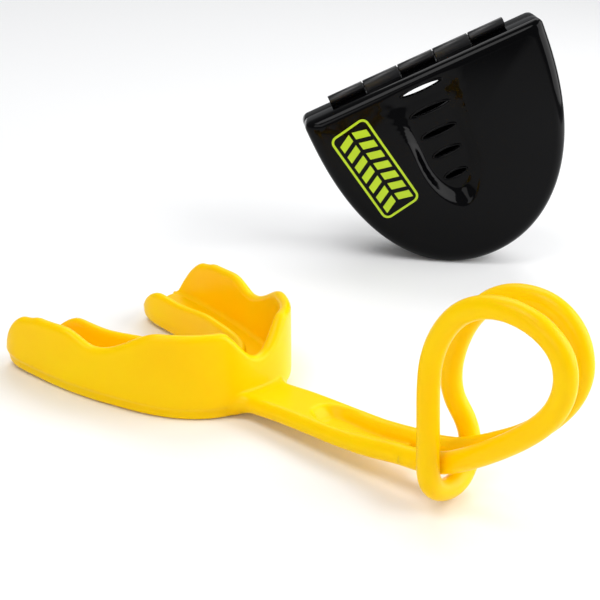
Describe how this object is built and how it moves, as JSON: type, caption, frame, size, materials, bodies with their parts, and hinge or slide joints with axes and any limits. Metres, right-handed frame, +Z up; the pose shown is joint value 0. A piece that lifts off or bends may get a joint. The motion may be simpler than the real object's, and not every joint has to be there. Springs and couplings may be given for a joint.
{
  "type": "mouthguard with case",
  "caption": "Strapped boil-and-bite mouthguard with a looped strap, lying in front of its hinged, vented storage case.",
  "frame": {"origin": "on the table, at the middle of the footprint of everything but the looped cord", "axes": "+X to the right and +Y away from the viewer as the set is looked at with the lid facing the viewer, +Z up"},
  "size_m": [0.1537, 0.2063, 0.0816],
  "materials": {
    "case_black": "high gloss moulded polypropylene",
    "pin_steel": "blackened wire",
    "badge_green": "printed film",
    "guard_yellow": "soft satin EVA"
  },
  "bodies": {
    "case": {"case_base": "case_black", "base_knuckles": "case_black", "hinge_pin": "pin_steel"},
    "lid": {"case_lid": "case_black", "lid_knuckles": "case_black", "lid_decal": "badge_green"},
    "guard": {"bite_plate": "guard_yellow", "cheek_wall": "guard_yellow", "tongue_wall": "guard_yellow", "strap_root": "guard_yellow"},
    "strap": {"strap_web": "guard_yellow", "strap_loop": "guard_yellow"}
  },
  "joints": [
    {"name": "lid_hinge", "type": "hinge", "parent": "case", "child": "lid", "pos_m": [0.02554, 0.06847, 0.06449], "axis": [-0.8676, -0.1104, -0.4848], "range_deg": [0, 180]},
    {"name": "guard_lift", "type": "slide", "parent": "case", "child": "guard", "axis": [0, 0, 1], "range_m": [0, 0.08]},
    {"name": "strap_flex", "type": "hinge", "parent": "guard", "child": "strap", "pos_m": [-0.00515, -0.06112, 0.00467], "axis": [-0.6239, -0.7815, 0], "range_deg": [0, 45], "stiffness_Nm_per_rad": 0.12}
  ]
}
